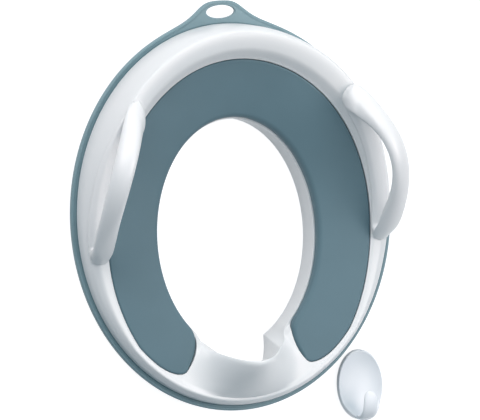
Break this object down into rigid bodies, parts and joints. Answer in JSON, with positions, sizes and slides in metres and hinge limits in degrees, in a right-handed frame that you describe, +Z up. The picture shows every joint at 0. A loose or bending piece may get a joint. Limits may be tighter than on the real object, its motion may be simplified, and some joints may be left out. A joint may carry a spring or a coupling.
{
  "type": "toddler toilet training seat",
  "caption": "Oval toddler toilet training seat: padded ring in a raised shell with side grab handles, front splash guard, non-slip base ring with hanging loop, and a stick-on wall hook.",
  "frame": {"origin": "middle of the bounding box's base, level with the skirt's lower edge and with the wall hook's back", "axes": "+Z is up, square to the seat; +Y points to the back rim and the hanging loop; +X is to the right of a child looking at the front"},
  "size_m": [0.302, 0.3855, 0.1114],
  "materials": {
    "shell": "semi-gloss white",
    "base_grey": "matte blue grey",
    "screw_steel": "brushed",
    "handle_white": "semi-gloss white",
    "cushion_grey": "soft matte blue grey",
    "stud_white": "satin",
    "hook_white": "semi-gloss white",
    "foam_tape": "matte foam",
    "liner_paper": "smooth paper"
  },
  "bodies": {
    "seat": {"seat_shell": "shell", "base_ring": "base_grey", "ring_screws": "screw_steel", "left_handle": "handle_white", "right_handle": "handle_white", "handle_screws": "screw_steel"},
    "cushion": {"cushion_pad": "cushion_grey", "cushion_studs": "stud_white"},
    "hook": {"wall_hook": "hook_white", "hook_tape": "foam_tape", "hook_liner": "liner_paper"}
  },
  "joints": [
    {"name": "cushion_lift", "type": "slide", "parent": "seat", "child": "cushion", "axis": [0, 0, 1], "range_m": [0, 0.09]},
    {"name": "hook_lift", "type": "slide", "parent": "seat", "child": "hook", "axis": [0, 0, 1], "range_m": [0, 0.1]}
  ]
}
